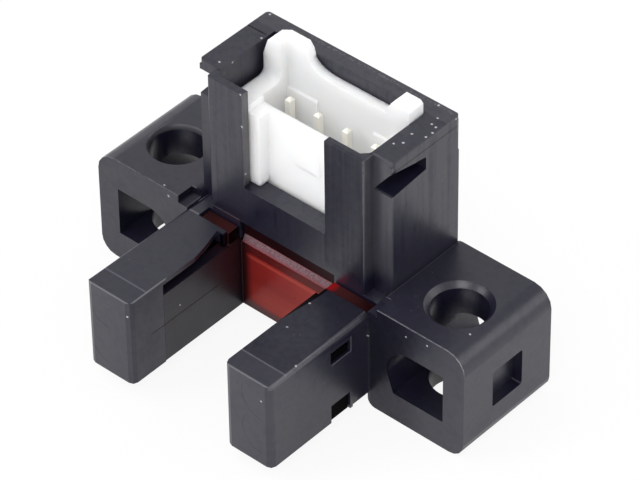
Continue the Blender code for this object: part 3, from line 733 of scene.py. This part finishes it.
insert = refined("red_window", "red_insert", (red, lining), insert_edge)
for vertex in insert.data.vertices:
    if abs(vertex.co.y / MM - leg_end) < match:
        vertex.co.y += (leg_reach - leg_end) * MM
for face in insert.data.polygons:
    x, y, z = face.center / MM
    in_leg = abs(x) > slot_half - leg_margin and y < wall_face + face_margin and z < leg_top
    bar_end = abs(abs(x) - bar_face) < face_margin and z > ledge_low and y < bar_front
    face.material_index = 1 if in_leg or bar_end else 0
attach(insert, "root")
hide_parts("red_window")


# Plug header
# White nylon, moulded with thin walls and two taller rear posts, pushed down into the tower. Light
# goes a little way into it, so its corners and edges stay soft.
header_white = (0.935, 0.935, 0.94)
header_cream = (0.905, 0.902, 0.895)
header_stain = (0.62, 0.52, 0.42)
stain_place = (-2.46, 2.5, 9.4)
stain_reach = 0.32
stain_core = 0.05
header_edge = 0.13
header_edge_steps = 3
corner_top = 14.43
corner_low = 13.78
corner_start = -3.07
corner_end = -4.94
corner_back = 3.1
corner_depth = 0.1


def header_detail(point):
    """Slopes the top of the left front corner down to the side wall."""
    if point.z < corner_top - corner_depth or point.x > corner_start or point.y > corner_back:
        return point
    share = (corner_start - point.x) / (corner_start - corner_end)
    return Vector((point.x, point.y, point.z - share * (corner_top - corner_low)))


white, place = begin("white_nylon")
cloud = noise(place, 0.5, 3.0)
grain = noise(place, 5.0, 3.0)
tone = mix(cloud, header_white, header_cream)
tone = mix(fade(distance(place, stain_place), stain_reach, stain_core) * 0.45, tone, header_stain)
end(
    white,
    {
        "Base Color": tone,
        "Roughness": cloud * 0.1 + 0.38,
        "Subsurface Weight": 1.0,
        "Subsurface Radius": (0.0018, 0.0017, 0.0016),
        "Subsurface Scale": 0.45,
        "Specular IOR Level": 0.35,
        "Normal": bump(grain, 0.10),
    },
)
header = refined(
    "connector_shroud",
    "plug_header",
    (white,),
    header_edge,
    header_edge_steps,
    moved=header_detail,
)
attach(header, "root")
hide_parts("connector_shroud")


# Contact pins
# Four square pins with tapered tips, drawn from brass wire and plated a pale gold. They stand in the
# header's floor and are soldered to the board under it.
plating_gold = (0.95, 0.92, 0.81)
plating_pale = (0.97, 0.96, 0.90)
pin_edge = 0.03
plated, place = begin("pale_plating")
drawn = noise(place, 2.0, 3.0, (4.0, 4.0, 0.5))
tone = mix(drawn, plating_gold, plating_pale)
end(plated, {"Base Color": tone, "Metallic": 0.25, "Roughness": drawn * 0.12 + 0.28})
for number in range(1, 5):
    pin = refined(f"contact_pin_{number}", f"plug_pin_{number}", (plated,), pin_edge)
    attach(pin, "root")
    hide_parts(f"contact_pin_{number}")


# Base cover
# A thin plate moulded in the case's black nylon, which snaps into the underside. Its latch tabs
# show in the windows of the arms, painted near black and dull as painted shade.
tab_painted_shade = (0.004, 0.004, 0.005)
tab_start = 5.8
tab_full = 5.95
cover_edge = 0.04
underside, place = begin("cover_nylon")
cloud = noise(place, 0.8, 4.0)
grain = noise(place, 6.0, 3.0)
tone = mix(cloud * 0.6 + grain * 0.4, nylon_dark, nylon_light)
tab = fade(abs(axes(place)[0]), tab_start, tab_full)
end(
    underside,
    {
        "Base Color": mix(tab, tone, tab_painted_shade),
        "Roughness": cloud * 0.1 + tab * 0.4 + 0.42,
        "Metallic": tab,
        "Specular IOR Level": 0.6,
        "Normal": bump(grain, 0.3),
    },
)
cover = refined("base_cover", "snap_cover", (underside,), cover_edge)
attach(cover, "root")
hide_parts("base_cover")


# Circuit board
# A board of green glass laminate under the header. The pins and the packages' tinned leads stand in
# ways through it and are soldered there.
board_dark = (0.012, 0.085, 0.035)
board_light = (0.025, 0.16, 0.07)
wire_dark = (0.60, 0.59, 0.57)
wire_light = (0.78, 0.77, 0.74)


def dress(finish, *names):
    """Gives a finish to frame parts that keep their own shape."""
    for name in names:
        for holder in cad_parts[name].material_slots:
            holder.link = "OBJECT"
            holder.material = finish


laminate, place = begin("green_laminate")
weave = noise(place, 2.5, 3.0, (1.0, 1.0, 0.3))
cloud = noise(place, 0.7, 2.0)
tone = mix(weave * 0.5 + cloud * 0.5, board_dark, board_light)
end(laminate, {"Base Color": tone, "Roughness": weave * 0.15 + 0.25, "Normal": bump(weave, 0.3, 0.02)})
dress(laminate, "circuit_board")

tinned, place = begin("tinned_wire")
drawn = noise(place, 2.0, 3.0, (4.0, 4.0, 0.4))
tone = mix(drawn, wire_dark, wire_light)
end(tinned, {"Base Color": tone, "Metallic": 1.0, "Roughness": drawn * 0.2 + 0.22})
dress(tinned, "emitter_lead_1", "emitter_lead_2", "detector_lead_1", "detector_lead_2")


# Optical packages
# Emitter and detector face each other across the slot, each cast in dark clear resin with a dome
# lens. A small lamp cast in red clear resin hangs under the board, behind the insert.
resin_dark = (0.014, 0.008, 0.030)
resin_light = (0.035, 0.020, 0.060)
lamp_dark = (0.42, 0.030, 0.022)
lamp_light = (0.60, 0.060, 0.045)
resin, place = begin("dark_resin")
cloud = noise(place, 1.2, 3.0)
tone = mix(cloud, resin_dark, resin_light)
end(resin, {"Base Color": tone, "Roughness": cloud * 0.08 + 0.10, "Coat Weight": 0.3})
dress(resin, "emitter_package", "detector_package")

lamp_resin, place = begin("lamp_resin")
cloud = noise(place, 1.5, 2.0)
tone = mix(cloud, lamp_dark, lamp_light)
end(lamp_resin, {"Base Color": tone, "Roughness": cloud * 0.1 + 0.12})
dress(lamp_resin, "indicator_led")


# Small parts of the board
# Black moulded chips and resistors with a dull face, and fired tan blocks for the capacitors. All are
# soldered to the board's lower face.
chip_dark = (0.012, 0.012, 0.013)
chip_light = (0.030, 0.030, 0.031)
block_dark = (0.34, 0.22, 0.12)
block_light = (0.52, 0.38, 0.25)
moulded, place = begin("moulded_chip")
grain = noise(place, 8.0, 3.0)
tone = mix(grain, chip_dark, chip_light)
end(moulded, {"Base Color": tone, "Roughness": grain * 0.2 + 0.45, "Normal": bump(grain, 0.3, 0.02)})
dress(moulded, "amplifier_chip", "output_transistor", "protection_diode")
dress(moulded, "chip_resistor_1", "chip_resistor_2", "chip_resistor_3")

fired, place = begin("fired_block")
grain = noise(place, 6.0, 3.0)
tone = mix(grain, block_dark, block_light)
end(fired, {"Base Color": tone, "Roughness": grain * 0.2 + 0.40})
dress(fired, "chip_capacitor_1", "chip_capacitor_2")
